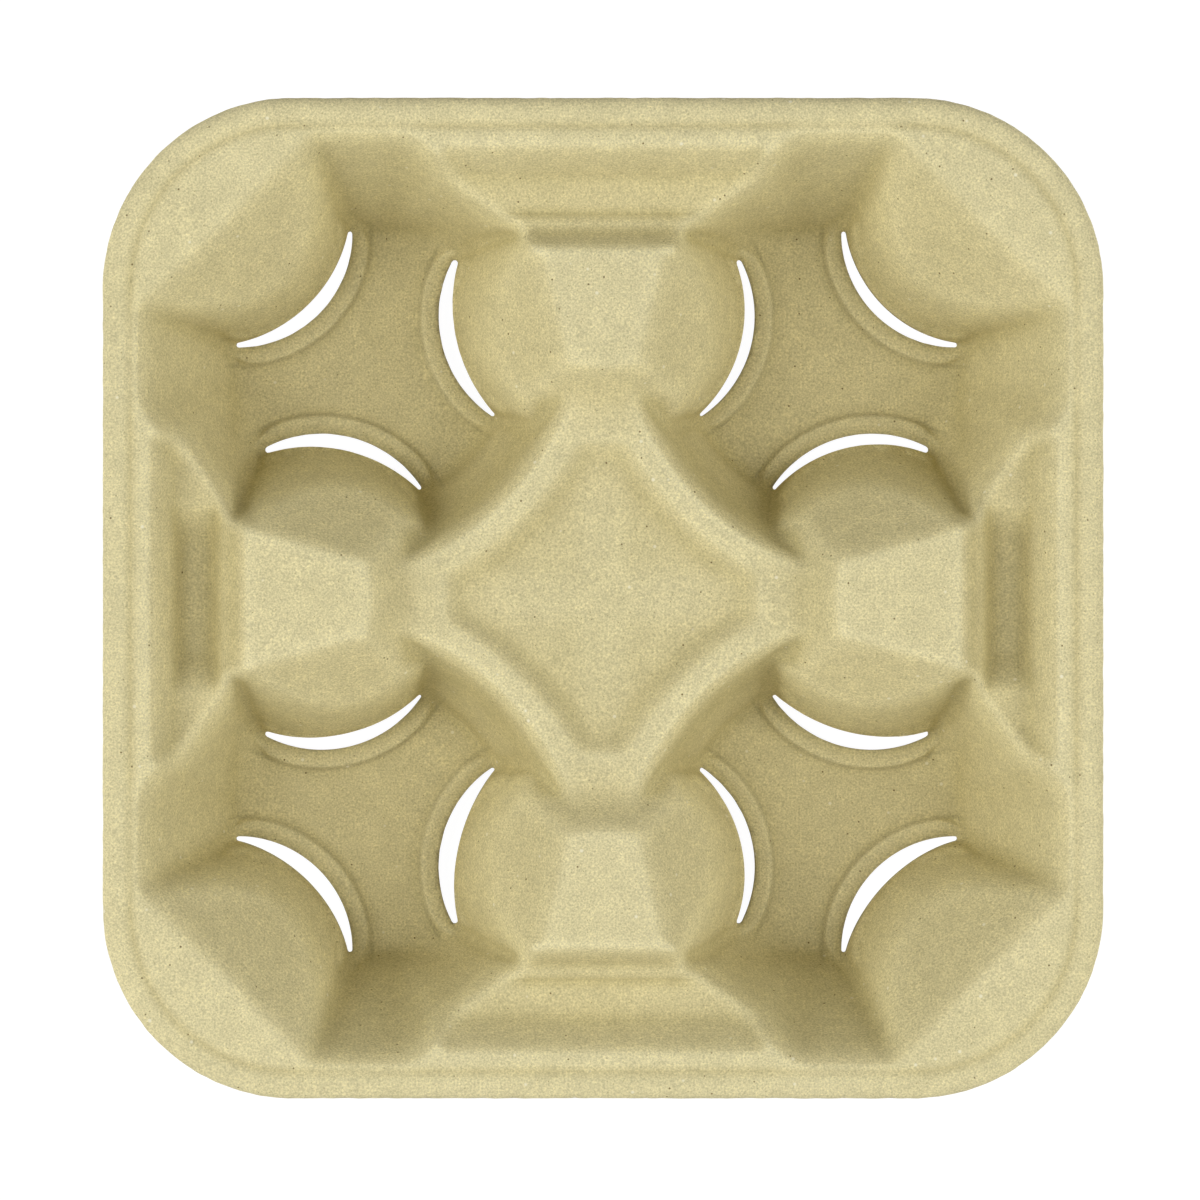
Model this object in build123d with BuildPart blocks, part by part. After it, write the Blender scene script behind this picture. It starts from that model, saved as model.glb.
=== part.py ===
"""Cup carrier moulded from pulp as one thin skin, in millimetres.

The tray stands on the undersides of its well floors at Z = 0 with its rim up. X runs to the
right and Y away from the reader. The skin is what lies between two forms, as in a mould: one
has the shape of the upper face, and the other lies a wall thickness below it.
"""
from build123d import *
import math
import os

os.makedirs("parts", exist_ok=True)

# Skin, heights and slopes
WALL = 2.0
HEIGHT = 44.0
RIDGE_DROP = 6.5
RECESS_DEPTH = 2.9
LEDGE_DROP = 8.0
FLANK_SLOPE = 48.0
FLAP_SLOPE = 69.0
FLAP_SPREAD = 15.0
TUB_SLOPE = 66.8
NECK_SLOPE = 75.0
BELOW = 1.0

# Wells, and the tub that holds them
WELL_PITCH = 99.4
TUB_REACH = 29.3
TUB_CORNER = 18.0
RIM_WIDTH = 8.0
RIM_CORNER = 40.0
RIM_LIP = 5.0
RIM_EDGE = 1.6
CREASE_IN = 5.6
CREASE_HALF = 0.25
CREASE_RUN = 0.7
CREASE_DEPTH = 0.4

# Bridges: the foot of a flap is an arc set out from the well's middle
FOOT_RADIUS = 26.2
FOOT_BACK = 41.4
FOOT_ALONG = 10.3
PANEL_IN_HALF = 7.5
PANEL_IN_ALONG = -1.2
NOSE_RADIUS = 26.3
BRIDGE_END_LEAN = 6.5
Y_PANEL_HALF = 13.4
X_PANEL_HALF = 14.8

# Corner flaps: a foot arc and a fold line, set out from the well's middle
CORNER_OFFSET = 28.5
CORNER_RADIUS = 25.0
CORNER_FOLD = 29.2
CORNER_TIP = 40.3
CORNER_BEHIND = 0.5

# Hub between the wells
HUB_FOOT_RADIUS = 29.3
HUB_RIDGE_RADIUS = 39.7
HUB_REACH = 50.0
RIDGE_WIDTH = 7.8
RECESS_SLOPE = 44.0
RECESS_CORNER = 3.0

# Necks from the bridges to the rim, with their steps as places in from the tub's rim
NECK_LEDGE_GAP = 15.2
NECK_LEDGE_IN = 8.3
NECK_FLARE = 0.72
NECK_OUT = 15.0
NECK_STEP_IN = 19.5
NECK_ROOT_HALF = 17.5
NECK_OVERLAP = 1.0
Y_STEPS = [(23.5, 0), (19.4, 6.5), (16.2, 6.5), (14.6, LEDGE_DROP), (8.5, LEDGE_DROP), (2.3, 0)]
X_STEPS = [(22.0, 0), (16.6, 5.4), (16.1, LEDGE_DROP), (7.0, LEDGE_DROP), (2.3, 0)]

# Pockets sunk in the ledges of the X necks
POCKET_IN = 15.8
POCKET_WIDTH = 8.8
POCKET_LENGTH = 37.0
POCKET_DEPTH = 2.5
POCKET_END_RUN = 4.0
POCKET_SIDE_RUN = 0.5

# Slots, as angles about the middles of the feet
SLOT_WIDTH = 2.9
SLOT_OUT_ANGLE = 27.0
SLOT_IN_ANGLE = -56.0
SLOT_CORNER_TURN = 44.5
SLOT_CLEAR = 0.4


def run_of(slope, drop):
    """Sideways distance that a slope needs to fall by a drop."""
    return drop / math.tan(math.radians(slope))


WELL_AT = WELL_PITCH / 2
TUB_FOOT = WELL_AT + TUB_REACH
TUB_RIM = TUB_FOOT + run_of(TUB_SLOPE, HEIGHT - WALL)
SIDE = 2 * (TUB_RIM + RIM_WIDTH)
RIDGE_Z = HEIGHT - RIDGE_DROP
FOOT_MIDDLE = (WELL_AT - FOOT_BACK, WELL_AT + FOOT_ALONG)
CORNER_MIDDLE = WELL_AT + CORNER_OFFSET


def about(middle, radius, angle):
    """A point at a radius and an angle about a middle."""
    turn = math.radians(angle)
    return middle[0] + radius * math.cos(turn), middle[1] + radius * math.sin(turn)


def lowest(skin):
    """Where a form starts: at the table, or below it for the lower form."""
    return 0 if skin == 0 else -BELOW


def thick(slope, skin):
    """Sideways distance between two slopes that lie one skin apart."""
    return skin / math.sin(math.radians(slope))


def block(skin):
    """The rim's outline, with the tub sunk into it."""
    low = HEIGHT - RIM_LIP if skin == 0 else -BELOW
    push = thick(TUB_SLOPE, skin)
    floor = WALL if skin == 0 else -2 * BELOW
    with BuildPart() as form:
        with BuildSketch(Plane.XY.offset(low)):
            RectangleRounded(SIDE - 2 * skin, SIDE - 2 * skin, RIM_CORNER - skin)
        extrude(amount=HEIGHT - skin - low)
        if skin == 0:
            chamfer(form.edges().group_by(Axis.Z)[-1], RIM_EDGE)
            with BuildSketch():
                inside = SIDE - 3 * WALL
                RectangleRounded(inside, inside, RIM_CORNER - 1.5 * WALL)
            extrude(amount=low)
        with BuildSketch(Plane.XY.offset(floor)):
            half = TUB_FOOT + run_of(TUB_SLOPE, floor - WALL) + push
            RectangleRounded(2 * half, 2 * half, TUB_CORNER + push)
        extrude(amount=HEIGHT + BELOW - floor, taper=TUB_SLOPE - 90, mode=Mode.SUBTRACT)
    return form.part


def flap_wall(skin, foot, radius, turn):
    """Everything behind a bulged flap wall: a leaning cone that widens upwards.

    The wall leans away from its foot, its bulge at the foot has the radius, and the way it
    faces is turned from +X.
    """
    lean = math.radians(90 - FLAP_SLOPE)
    spread = math.radians(FLAP_SPREAD)
    start = radius * math.cos(spread) / math.cos(lean)
    length = 3 * HEIGHT
    drop = 2 * (WALL + BELOW)
    tilt = lean + spread
    back = thick(FLAP_SLOPE, skin)
    low = (-back + drop * math.tan(lean), WALL - drop)
    high = (low[0] - length * math.sin(lean), low[1] + length * math.cos(lean))
    first = start - drop * math.sin(spread)
    last = first + length * math.sin(spread)
    axis_low = (low[0] - first * math.cos(tilt), low[1] - first * math.sin(tilt))
    axis_high = (high[0] - last * math.cos(tilt), high[1] - last * math.sin(tilt))
    axis = Axis((axis_low[0], 0, axis_low[1]),
                (axis_high[0] - axis_low[0], 0, axis_high[1] - axis_low[1]))
    with BuildPart() as form:
        with BuildSketch(Plane.XZ):
            with BuildLine():
                Polyline(low, high, axis_high, axis_low, close=True)
            make_face()
        revolve(axis=axis)
    return form.part.rotate(Axis.Z, turn).translate((foot[0], foot[1], 0))


def flank_under(top, low, inset, inner, widen):
    """Everything under a bridge's flat top and its right-hand flank."""
    run = run_of(FLANK_SLOPE, top - low)
    across = Plane(origin=(PANEL_IN_HALF, inner, 0), x_dir=(1, -widen, 0), z_dir=(-widen, -1, 0))
    with BuildPart() as form:
        with BuildSketch(across):
            with BuildLine():
                Polyline((-inset, top), (run - inset, low), (-WELL_PITCH, low),
                         (-WELL_PITCH, top), close=True)
            make_face()
        extrude(amount=WELL_PITCH / 2, both=True)
    return form.part


def bridge(skin, panel_half, panel_end):
    """The hump between two wells, standing on the Y side of the middle."""
    low = lowest(skin)
    top = HEIGHT - skin
    inset = skin * math.tan(math.radians(FLANK_SLOPE / 2))
    end = TUB_RIM - panel_end
    inner = WELL_AT + PANEL_IN_ALONG
    widen = (panel_half - PANEL_IN_HALF) / (end - inner)
    radius = FOOT_RADIUS - SLOT_CLEAR
    wall = flap_wall(skin, (FOOT_MIDDLE[0] + radius, FOOT_MIDDLE[1]), radius, 0)
    flank = flank_under(top, low, inset, inner, widen)
    with BuildPart() as form:
        add(flank)
        add(flank.mirror(Plane.YZ), mode=Mode.INTERSECT)
        add(wall, mode=Mode.INTERSECT)
        add(wall.mirror(Plane.YZ), mode=Mode.INTERSECT)
        with Locations((0, inner + NOSE_RADIUS, low)):
            nose = NOSE_RADIUS - inset
            Cone(nose + run_of(FLANK_SLOPE, top - low), nose, top - low,
                 align=(Align.CENTER, Align.CENTER, Align.MIN), mode=Mode.INTERSECT)
        with BuildSketch(Plane.YZ.offset(-WELL_PITCH)):
            with BuildLine():
                Polyline((end, HEIGHT + BELOW), (end, HEIGHT),
                         (end + BRIDGE_END_LEAN, low - BELOW), (SIDE, low - BELOW),
                         (SIDE, HEIGHT + BELOW), close=True)
            make_face()
        extrude(amount=2 * WELL_PITCH, mode=Mode.SUBTRACT)
    return form.part




def corner(skin):
    """The flap that fills one corner of the tub."""
    low = lowest(skin)
    top = HEIGHT - skin
    inset = skin * math.tan(math.radians(FLANK_SLOPE / 2))
    radius = CORNER_RADIUS - SLOT_CLEAR
    foot = CORNER_MIDDLE - radius * math.sqrt(0.5)
    fold = (WELL_AT + CORNER_FOLD) * math.sqrt(2) + inset
    tip = WELL_AT + CORNER_TIP
    back = TUB_RIM + CORNER_BEHIND
    turn = WELL_AT + CORNER_FOLD
    across = Plane(origin=(0, 0, 0), x_dir=(1, 1, 0), z_dir=(1, -1, 0))
    with BuildPart() as form:
        with BuildSketch(across):
            with BuildLine():
                Polyline((fold - run_of(FLANK_SLOPE, top - low), low), (fold, top),
                         (SIDE, top), (SIDE, low), close=True)
            make_face()
        extrude(amount=SIDE, both=True)
        add(flap_wall(skin, (foot, foot), radius, -135), mode=Mode.INTERSECT)
        with BuildSketch(Plane.XY.offset(low)):
            with BuildLine():
                Polyline((0, 0), (back, 0), (back, turn), (tip, tip), (turn, back), (0, back),
                         close=True)
            make_face()
        extrude(amount=top - low, mode=Mode.INTERSECT)
    return form.part


def hub(skin):
    """The four-pointed hub between the wells, with its ridge and shallow recess."""
    low = lowest(skin)
    top = RIDGE_Z - skin
    draft = (HUB_RIDGE_RADIUS - HUB_FOOT_RADIUS) / (RIDGE_Z - WALL)
    away = skin * math.sqrt(1 + draft ** 2)
    over = RIDGE_Z + BELOW
    side = WELL_AT * math.sqrt(2) - HUB_RIDGE_RADIUS - RIDGE_WIDTH
    spread = skin * math.tan(math.radians(RECESS_SLOPE / 2))
    with BuildPart() as form:
        with BuildSketch(Plane.XY.offset(low)):
            Rectangle(2 * HUB_REACH, 2 * HUB_REACH)
        extrude(amount=top - low)
        with GridLocations(WELL_PITCH, WELL_PITCH, 2, 2):
            with Locations((0, 0, low - BELOW)):
                foot = HUB_FOOT_RADIUS + away + draft * (low - BELOW - WALL)
                rim = HUB_FOOT_RADIUS + away + draft * (over - WALL)
                Cone(foot, rim, over - low + BELOW,
                     align=(Align.CENTER, Align.CENTER, Align.MIN), mode=Mode.SUBTRACT)
        with BuildSketch(Plane.XY.offset(top)):
            RectangleRounded(2 * (side + spread), 2 * (side + spread), RECESS_CORNER + spread,
                             rotation=45)
        extrude(amount=-RECESS_DEPTH, taper=90 - RECESS_SLOPE, mode=Mode.SUBTRACT)
    return form.part


def saddle(steps, skin, low):
    """Everything under a neck's stepped top, as a wide prism along X."""
    far = TUB_RIM + skin
    near = TUB_RIM - steps[0][0] - NECK_OVERLAP - skin
    with BuildPart() as form:
        with BuildSketch(Plane.YZ.offset(-WELL_PITCH / 2)):
            with BuildLine():
                Polyline((near, low - skin), (near, HEIGHT),
                         *[(TUB_RIM - back, HEIGHT - drop) for back, drop in steps],
                         (far, HEIGHT), (far, low - skin), close=True)
            make_face()
            if skin:
                offset(amount=-skin, kind=Kind.INTERSECTION, mode=Mode.REPLACE)
        extrude(amount=WELL_PITCH)
    return form.part


def neck(steps, skin):
    """The stepped neck between a bridge and the rim, on the Y side."""
    low = lowest(skin)
    ledge = HEIGHT - LEDGE_DROP
    out = run_of(NECK_SLOPE, ledge - low) - thick(NECK_SLOPE, skin)
    middle = (WELL_AT - NECK_LEDGE_GAP, TUB_RIM - NECK_LEDGE_IN)
    rim = (middle[0] + NECK_FLARE * NECK_OUT, middle[1] + NECK_OUT)
    inner = (NECK_ROOT_HALF, TUB_RIM - NECK_STEP_IN)
    root = (inner[0], inner[1] - NECK_STEP_IN)
    side = [rim, middle, inner, root]
    with BuildPart() as form:
        with BuildSketch(Plane.XY.offset(low)):
            with BuildLine():
                Polyline(*side, *[(-x, y) for x, y in reversed(side)], close=True)
            make_face()
            offset(amount=out, kind=Kind.INTERSECTION, mode=Mode.REPLACE)
        extrude(amount=HEIGHT + BELOW - low, taper=90 - NECK_SLOPE)
        add(saddle(steps, skin, low), mode=Mode.INTERSECT)
    return form.part


def pocket(skin):
    """The pocket that is sunk into the ledge of an X neck, drawn on the Y side."""
    top = HEIGHT - LEDGE_DROP
    floor = top - POCKET_DEPTH - skin
    middle = TUB_RIM - POCKET_IN + POCKET_WIDTH / 2
    over = top + BELOW
    half_length = POCKET_LENGTH / 2
    half_width = POCKET_WIDTH / 2
    end_slope = math.degrees(math.atan2(POCKET_DEPTH, POCKET_END_RUN))
    side_slope = math.degrees(math.atan2(POCKET_DEPTH, POCKET_SIDE_RUN))
    end_in = run_of(end_slope, top - floor) - thick(end_slope, skin)
    side_in = run_of(side_slope, top - floor) - thick(side_slope, skin)
    end_out = run_of(end_slope, BELOW) + thick(end_slope, skin)
    side_out = run_of(side_slope, BELOW) + thick(side_slope, skin)
    with BuildPart() as form:
        with BuildSketch(Plane.XZ.offset(-middle)):
            with BuildLine():
                Polyline((-half_length + end_in, floor), (half_length - end_in, floor),
                         (half_length + end_out, over), (-half_length - end_out, over),
                         close=True)
            make_face()
        extrude(amount=POCKET_WIDTH, both=True)
        with BuildSketch(Plane.YZ):
            with BuildLine():
                Polyline((middle - half_width + side_in, floor),
                         (middle + half_width - side_in, floor),
                         (middle + half_width + side_out, over),
                         (middle - half_width - side_out, over), close=True)
            make_face()
        extrude(amount=POCKET_LENGTH, both=True, mode=Mode.INTERSECT)
    return form.part


def crescent(start, end, outer, inner):
    """A crescent between two points, with a bulge to each of two more."""
    with BuildSketch() as outline:
        with BuildLine():
            ThreePointArc(start, outer, end)
            ThreePointArc(end, inner, start)
        make_face()
    return outline.sketch


Y_FOOT = (FOOT_MIDDLE, FOOT_RADIUS, SLOT_OUT_ANGLE, SLOT_IN_ANGLE)
X_FOOT = (FOOT_MIDDLE[::-1], FOOT_RADIUS, 90 - SLOT_OUT_ANGLE, 90 - SLOT_IN_ANGLE)
CORNER_FOOT = ((CORNER_MIDDLE, CORNER_MIDDLE), CORNER_RADIUS, 225 - SLOT_CORNER_TURN,
               225 + SLOT_CORNER_TURN)


def slots():
    """Cutters for the three crescent slots of one well."""
    with BuildPart() as form:
        with BuildSketch(Plane.XY.offset(-2 * BELOW)):
            for middle, radius, first, last in (Y_FOOT, X_FOOT, CORNER_FOOT):
                halfway = (first + last) / 2
                add(crescent(about(middle, radius, first), about(middle, radius, last),
                             about(middle, radius, halfway),
                             about(middle, radius - SLOT_WIDTH, halfway)))
        extrude(amount=HEIGHT / 2)
    return form.part


def crease():
    """Cutter for the soft crease round the rim."""
    reach = SIDE / 2 - CREASE_IN
    bend = RIM_CORNER - CREASE_IN
    floor = HEIGHT - CREASE_DEPTH
    flare = math.degrees(math.atan2(CREASE_RUN, CREASE_DEPTH))
    with BuildPart() as form:
        with BuildSketch(Plane.XY.offset(floor)):
            half = reach + CREASE_HALF
            RectangleRounded(2 * half, 2 * half, bend + CREASE_HALF)
        extrude(amount=CREASE_DEPTH, taper=-flare)
        with BuildSketch(Plane.XY.offset(floor)):
            half = reach - CREASE_HALF
            RectangleRounded(2 * half, 2 * half, bend - CREASE_HALF)
        extrude(amount=CREASE_DEPTH, taper=flare, mode=Mode.SUBTRACT)
    return form.part


def on_all_sides(piece):
    """A piece and its images in the two upright mirror planes."""
    pair = [piece, piece.mirror(Plane.YZ)]
    return pair + [image.mirror(Plane.XZ) for image in pair]


def form_under(skin):
    """Everything under the tray's upper face, or under its lower face."""
    y_bridge = bridge(skin, Y_PANEL_HALF, Y_STEPS[0][0])
    x_bridge = bridge(skin, X_PANEL_HALF, X_STEPS[0][0]).rotate(Axis.Z, -90)
    y_neck = neck(Y_STEPS, skin)
    x_neck = neck(X_STEPS, skin).rotate(Axis.Z, -90)
    x_pocket = pocket(skin).rotate(Axis.Z, -90)
    with BuildPart() as form:
        add(block(skin))
        add([y_bridge, y_neck, y_bridge.mirror(Plane.XZ), y_neck.mirror(Plane.XZ)])
        add([x_bridge, x_neck, x_bridge.mirror(Plane.YZ), x_neck.mirror(Plane.YZ)])
        add(on_all_sides(corner(skin)))
        add(hub(skin))
        add([x_pocket, x_pocket.mirror(Plane.YZ)], mode=Mode.SUBTRACT)
        if skin == 0:
            add(crease(), mode=Mode.SUBTRACT)
    return form.part


with BuildPart() as carrier_tray:
    add(form_under(0))
    add(form_under(WALL), mode=Mode.SUBTRACT)
    add(on_all_sides(slots()), mode=Mode.SUBTRACT)

carrier_tray.part.label = "carrier_tray"
export_step(carrier_tray.part, "parts/carrier_tray.step")
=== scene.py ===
"""Looks of a moulded-pulp cup carrier, seen from straight above.

The tray is one skin of moulded fibre. Its upper face is a height over the plan, worked out in
millimetres from the same sizes as the part's solid, then softened as wet pulp on a screen is.
Its lower face lies a wall thickness under it.
"""
import math

import bpy
import numpy as np
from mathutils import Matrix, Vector, noise
from mathutils.geometry import delaunay_2d_cdt
from mathutils.kdtree import KDTree


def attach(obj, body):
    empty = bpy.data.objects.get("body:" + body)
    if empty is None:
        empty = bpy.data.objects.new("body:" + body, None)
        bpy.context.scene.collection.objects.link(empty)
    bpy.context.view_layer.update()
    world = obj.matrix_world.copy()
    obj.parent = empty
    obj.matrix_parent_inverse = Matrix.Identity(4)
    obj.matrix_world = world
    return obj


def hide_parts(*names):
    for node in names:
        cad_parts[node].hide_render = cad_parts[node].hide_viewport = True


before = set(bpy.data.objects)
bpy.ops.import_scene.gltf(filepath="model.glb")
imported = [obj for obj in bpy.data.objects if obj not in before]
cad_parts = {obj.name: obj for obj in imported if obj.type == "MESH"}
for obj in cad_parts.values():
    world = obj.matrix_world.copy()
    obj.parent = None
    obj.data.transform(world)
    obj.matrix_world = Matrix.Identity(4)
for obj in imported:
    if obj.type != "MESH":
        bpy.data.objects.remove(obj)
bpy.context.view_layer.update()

MM = 0.001

# Tray, in millimetres
WALL = 2.0
HEIGHT = 44.0
HALF_SIDE = 105.0
RIM_CORNER = 40.0
RIM_ROLL = 2.4
WELL_AT = 49.7
TUB_FOOT = 79.0
TUB_CORNER = 18.0

# Slopes, as height gained for each millimetre in plan
TUB_RISE = math.tan(math.radians(66.8))
FLANK_RISE = math.tan(math.radians(48.0))
FLAP_RISE = math.tan(math.radians(69.0))
NECK_RISE = math.tan(math.radians(75.0))
RECESS_RISE = math.tan(math.radians(41.0))
BRIDGE_END_RISE = 7.1

# Flap walls: where the foot bulges furthest, and how the bulge flattens higher up
FOOT_RADIUS = 25.8
FOOT_SIDE = 8.3
FOOT_ALONG = 60.0
CORNER_AT = 78.2
CORNER_RADIUS = 24.6
FLAP_FLATTEN = 0.27

# Heights over which two faces round into each other, where they cross
EDGE_BLEND = 0.6
FLAP_BLEND = 2.5
FOLD_BLEND = 6.5
ARM_BLEND = 22.0
NOSE_BLEND = 1.0
NECK_BLEND = 0.8
Y_PANEL_BLEND = 2.2
X_PANEL_BLEND = 0.9
CORNER_TOP_BLEND = 0.8
CORNER_WALL_BLEND = 1.5
RIDGE_BLEND = 2.6
RECESS_BLEND = 0.7
RECESS_TIP_BLEND = 1.5

# Where the wide blend of the folds starts: above a height and away from the middle planes
FOLD_FROM_HEIGHT = 5.0
FOLD_HEIGHT_RUN = 8.0
FOLD_FROM_ASIDE = 19.0
FOLD_ASIDE_RUN = 5.0

# Where the wide blend of the arms ends, in from the neck's side
ARM_BLEND_END = 5.0
ARM_BLEND_RUN = 2.5

# Panels on the bridges, folds in the corners
PANEL_IN = (7.5, 48.5)
Y_PANEL_OUT = (13.4, 73.5)
X_PANEL_OUT = (14.8, 75.0)
NOSE_RADIUS = 26.3
FOLD_AT = 111.6

# Hub
HUB_FOOT = 29.3
HUB_RIM = 40.4
HUB_FLATTEN = 0.55
RIDGE_Z = 37.5
RECESS_SIDE = 24.2
RECESS_DEPTH = 2.9
RECESS_BOW = 75.0
RECESS_TIP = 32.8

# Necks: their sides at ledge height, and their steps from the panel out to the rim
LEDGE_Z = 36.0
NECK_ROOT_HALF = 17.5
NECK_TURN_Y = 77.5
NECK_LEDGE = (34.5, 88.7)
NECK_RIM = (38.4, 94.1)
STEP_OVERLAP = 1.0
Y_STEPS = [(73.5, 44.0), (77.6, 37.4), (80.0, 37.7), (80.9, 34.9), (82.3, 35.9), (88.5, 35.9),
           (94.7, 44.0)]
X_STEPS = [(75.0, 44.0), (80.4, 38.6), (80.9, 36.0), (90.0, 36.0), (94.7, 44.0)]

# Pockets sunk in the ledges of the X necks
POCKET_FROM = 81.0
POCKET_TO = 90.8
POCKET_HALF = 19.5
POCKET_FLOOR = 32.2
POCKET_END_RUN = 6.5
POCKET_SIDE_RUN = 1.6

# Slots: first and last angle about the foot's middle, and the low lip beside each
SLOT_RADIUS = 26.2
CORNER_SLOT_RADIUS = 25.0
SLOT_FROM = -56.0
SLOT_TO = 27.0
CORNER_SLOT_HALF = 44.5
LIP_WIDTH = 4.1
LIP_RISE = 1.5
LIP_MORE_TURN = 7.0
LIP_EDGE_RUN = 1.1
LIP_BACK = 3.0
LIP_END_POWER = 8
LIP_END_STEEPNESS = 12.0
GROOVE_OUT = 0.9
GROOVE_WIDE = 0.6
GROOVE_DEPTH = 0.3
INNER_TIP = 0.9
OUTER_TIP = 1.5
CORNER_SLOT_TIP = 1.1

# Torn pulp just past each slot's tips: its place and its depth
TEAR_TURN = 2.5
TEAR_IN = 0.6
TEAR_DEPTH = 0.5
TEAR_SPREAD = 0.8

# Fine lines pressed in: the crease inside the rim, and a trough across each Y neck
CREASE_IN = 5.9
CREASE_HALF = 0.8
CREASE_DEPTH = 0.5
TROUGH_AT = 80.9
TROUGH_HALF = 18.5
TROUGH_END_RUN = 3.0
TROUGH_DEPTH = 0.9
TROUGH_WIDE = 0.8

# Softness of the wet skin, wider where a well's arms run up to the rim, away from the necks
SOFTNESS = 0.65
SHOULDER_SOFTNESS = 1.5
UNDER_SOFTNESS = 0.7
SHOULDER_OUT = 76.0
SHOULDER_ASIDE = 33.0
SHOULDER_RUN = 8.0

# Unevenness as size, strength and seed: of the skin, and of its cut edges
UNEVEN = ((22.0, 0.35, 1.0), (6.0, 0.12, 2.0))
RAGGED = (2.2, 0.11, 3.0)
SLOT_WALL_BULGE = 0.05
SLOT_WALL_RAGGED = 0.5
SLOT_WALL_LEVEL = 0.6

# The rim's rolled edge: how far out from the flat and at what height, from the top round
ROLL = [(0.92, 43.82), (1.7, 43.3), (2.22, 42.52), (2.4, 41.6), (2.4, 39.7), (2.1, 39.1),
        (1.3, 38.9), (0.55, 39.3), (0.4, 40.2), (0.3, 41.6)]

# Painted shade: how far round a place looks for what hides the sky, and how strongly shade is
# painted on the hub's walls and on the strips beside the pockets
HOLLOW_REACH = 1.5
SHADE_REACH = 26.0
SHADE_STEPS = (1.5, 3.0, 5.0, 8.0, 12.0, 17.0, 23.0, 30.0)
SHADE_TURN = 30.0
WALL_SHADE_TONE = 0.75

# Bounds of the painted shade on the hub's walls and on the strips beside the pockets, each with
# its fading run
HUB_END = (60.0, 6.0)
HUB_SIDE_START = (3.0, 4.0)
HUB_WALL_START = (10.0, 14.0)
HUB_WALL_END = (36.5, 4.0)
STRIP_START = (75.5, 1.5)
STRIP_END = (82.0, 1.5)
STRIP_SIDE = (19.0, 4.0)

# Mesh: the height grid and its half side, the gaps between points, and their least distances
FINE = 0.5
EXTENT = 110.0
SPACING = 1.05
SLOT_GAP = 0.8
LINE_GAP = 1.3
LINE_APART = 0.55
LIP_POINTS = 55
LIP_END_SHARE = 0.97
CLEAR_OF_RIM = 0.5
CLEAR_OF_LINES = 0.5 * SPACING
CLEAR_OF_EDGES = 0.55 * SPACING
LINES_CLEAR_OF_EDGES = 0.4
SAME_PLACE = 0.01


def least(first, second, blend):
    """The lower of two heights, rounded over a blend height where they cross."""
    share = np.clip(0.5 + 0.5 * (second - first) / blend, 0.0, 1.0)
    return second + (first - second) * share - blend * share * (1.0 - share)


def most(first, second, blend):
    """The higher of two heights, rounded over a blend height where they cross."""
    return -least(-first, -second, blend)


def rising(value, start, run):
    """Share that is none up to a start and whole from a run beyond it."""
    return np.clip((value - start) / run, 0.0, 1.0)


def falling(value, end, run):
    """Share that is whole up to a run before an end and none from the end on."""
    return np.clip((end - value) / run, 0.0, 1.0)


def rounded_square(x, y, half, corner):
    """Distance outside a square with rounded corners, less than zero inside it."""
    dx = np.abs(x) - half + corner
    dy = np.abs(y) - half + corner
    outside = np.hypot(np.maximum(dx, 0.0), np.maximum(dy, 0.0))
    return outside + np.minimum(np.maximum(dx, dy), 0.0) - corner


def beyond(x, y, start, end):
    """Distance beyond the line from start to end, on its right-hand side."""
    run = end[0] - start[0]
    rise = end[1] - start[1]
    return ((x - start[0]) * rise - (y - start[1]) * run) / math.hypot(run, rise)


def flap_wall(ahead, aside, radius):
    """Height of a flap wall, from how far a point lies ahead of the foot and aside of it."""
    lean = 1.0 / FLAP_RISE
    square = lean * (lean + 2.0 * FLAP_FLATTEN)
    middle = 2.0 * (ahead * lean + radius * lean + FLAP_FLATTEN * ahead)
    rest = ahead * ahead + 2.0 * radius * ahead + aside * aside
    root = np.sqrt(np.maximum(middle * middle - 4.0 * square * rest, 0.0))
    return WALL + (root - middle) / (2.0 * square)


def bridge(x, y, panel_out, soft):
    """Height of a bridge that stands across the Y side, for x and y not less than zero."""
    flank = HEIGHT - beyond(x, y, PANEL_IN, panel_out) * FLANK_RISE
    nose = HEIGHT - (np.hypot(x, y - PANEL_IN[1] - NOSE_RADIUS) - NOSE_RADIUS) * FLANK_RISE
    nose = np.where(y > PANEL_IN[1] + NOSE_RADIUS / 2, HEIGHT * 2, nose)
    wall = flap_wall(x - FOOT_SIDE - FOOT_RADIUS, y - FOOT_ALONG, FOOT_RADIUS)
    roof = least(np.full_like(x, HEIGHT), flank, soft)
    roof = least(roof, nose, NOSE_BLEND)
    height = least(roof, wall, 2.0 * soft)
    return np.minimum(height, HEIGHT - np.maximum(y - panel_out[1], 0.0) * BRIDGE_END_RISE)


def neck(x, y, steps):
    """Height of the stepped neck from a bridge to the rim, and how softly its flanks blend."""
    straight = NECK_ROOT_HALF - x
    slant = -beyond(x, y, (NECK_ROOT_HALF, NECK_TURN_Y), NECK_LEDGE)
    last = -beyond(x, y, NECK_LEDGE, NECK_RIM)
    inside = np.minimum(np.maximum(straight, slant), last)
    top = np.interp(y, [step[0] for step in steps], [step[1] for step in steps])
    height = least(top, LEDGE_Z + inside * NECK_RISE, NECK_BLEND)
    in_arm = falling(inside, ARM_BLEND_END, ARM_BLEND_RUN)
    hollow_blend = EDGE_BLEND + (ARM_BLEND - EDGE_BLEND) * in_arm
    return np.where(y < steps[0][0] - STEP_OVERLAP, -HEIGHT, height), hollow_blend


def pocket(x, y):
    """Height that the pocket in an X ledge allows."""
    end = (np.abs(x) - POCKET_HALF + POCKET_END_RUN) / POCKET_END_RUN
    middle = (POCKET_FROM + POCKET_TO) / 2
    side = np.abs(y - middle) - (POCKET_TO - POCKET_FROM) / 2
    side = (side + POCKET_SIDE_RUN) / POCKET_SIDE_RUN
    return POCKET_FLOOR + (LEDGE_Z - POCKET_FLOOR) * np.maximum(np.maximum(end, side), 0.0)


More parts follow.
